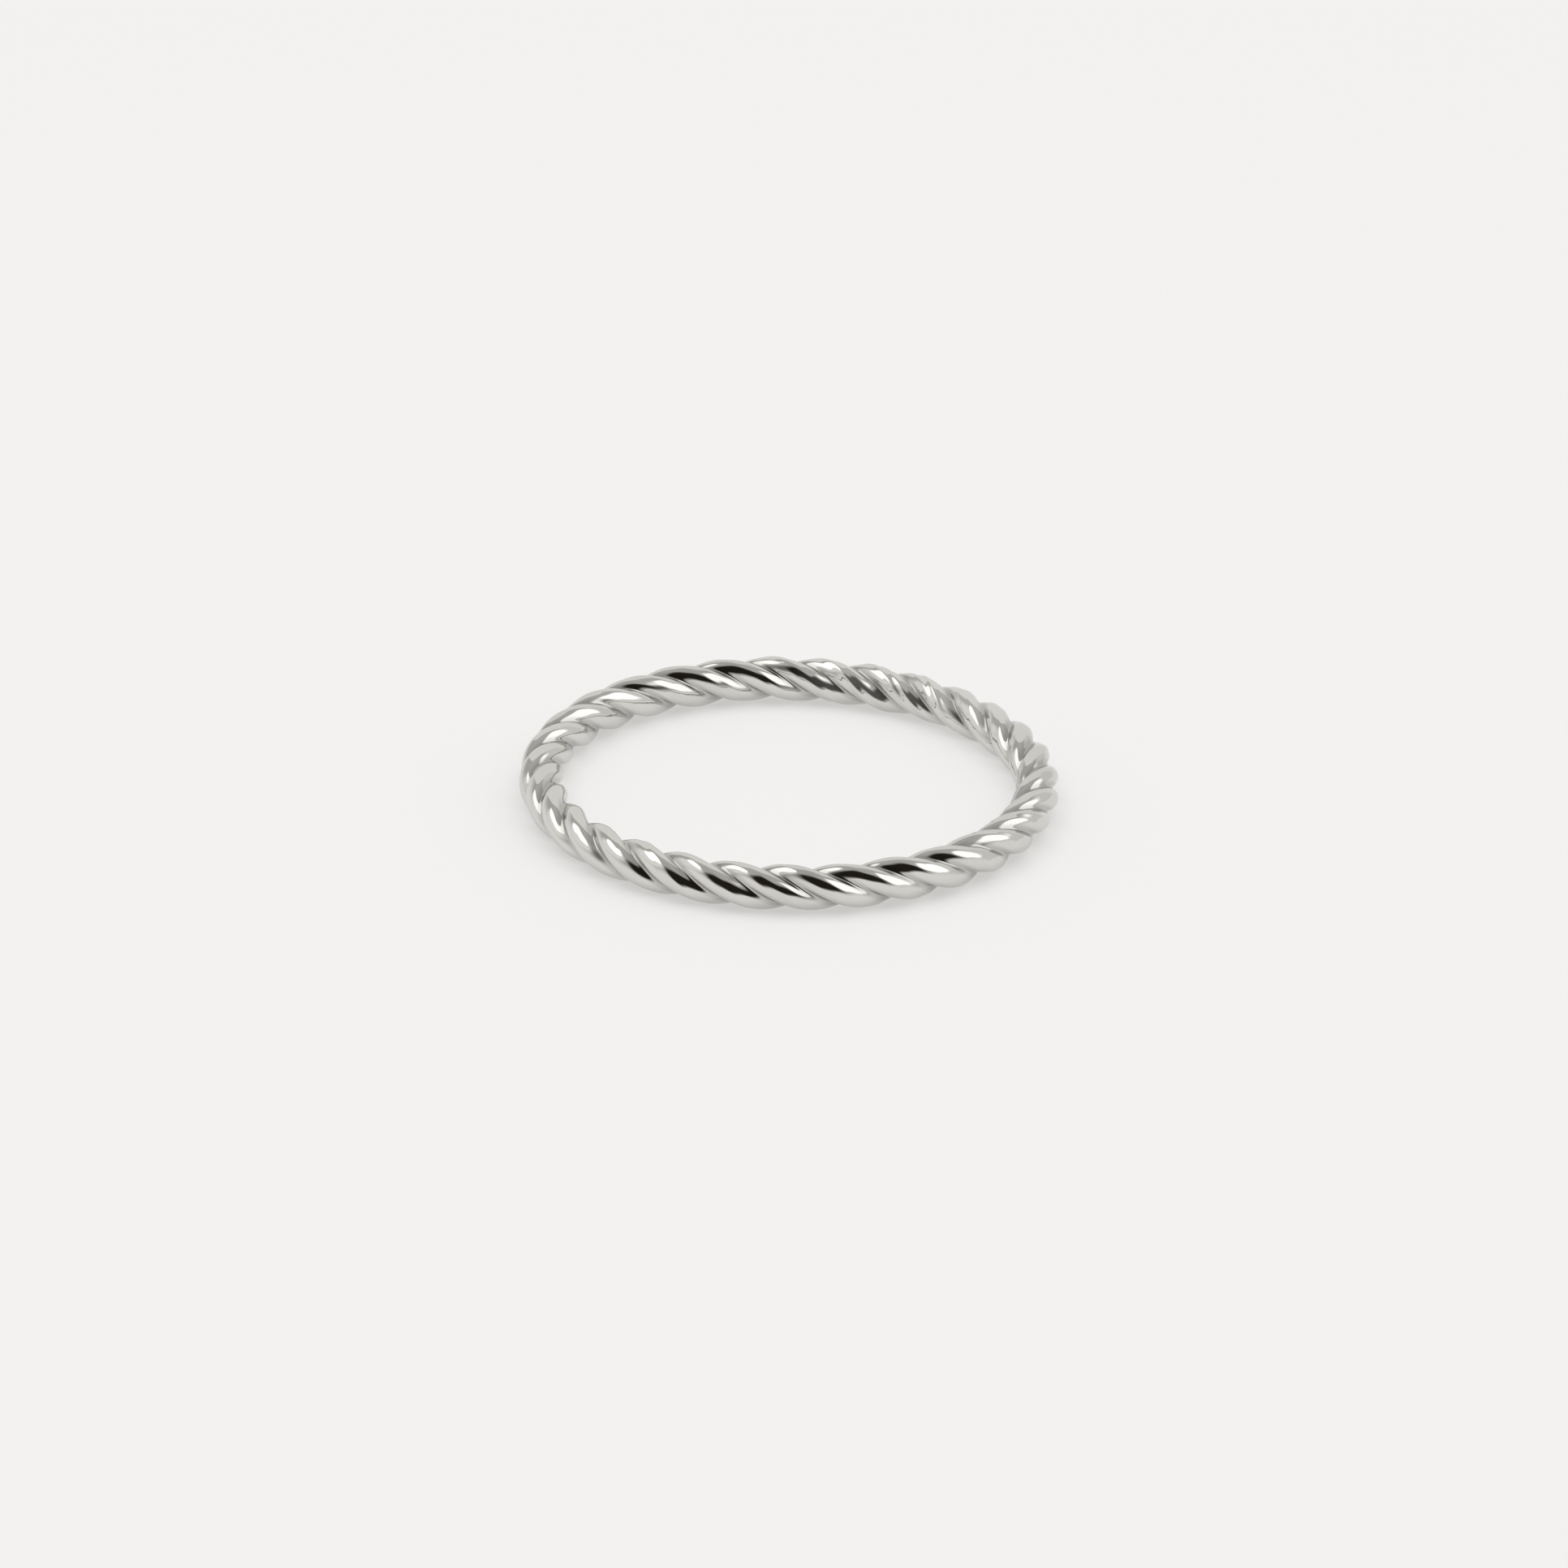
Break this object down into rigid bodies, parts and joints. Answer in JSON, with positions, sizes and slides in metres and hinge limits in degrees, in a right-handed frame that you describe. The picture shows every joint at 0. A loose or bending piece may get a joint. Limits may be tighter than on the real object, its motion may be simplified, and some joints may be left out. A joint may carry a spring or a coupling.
{
  "type": "stacking ring",
  "caption": "Slim plain finger ring: a closed round band of metal strands twisted like rope, polished all over, lying flat.",
  "frame": {"origin": "on the surface that the ring lies on, under the middle of the finger hole", "axes": "+Z along the finger hole's axis, up from that surface; +X and +Y in the ring's plane, with a crest of the twist facing straight outwards 5.35 degrees round from +X"},
  "size_m": [0.0206, 0.0206, 0.0017],
  "materials": {
    "silver": "mirror polished"
  },
  "bodies": {
    "root": {"twisted_band": "silver"}
  },
  "joints": []
}
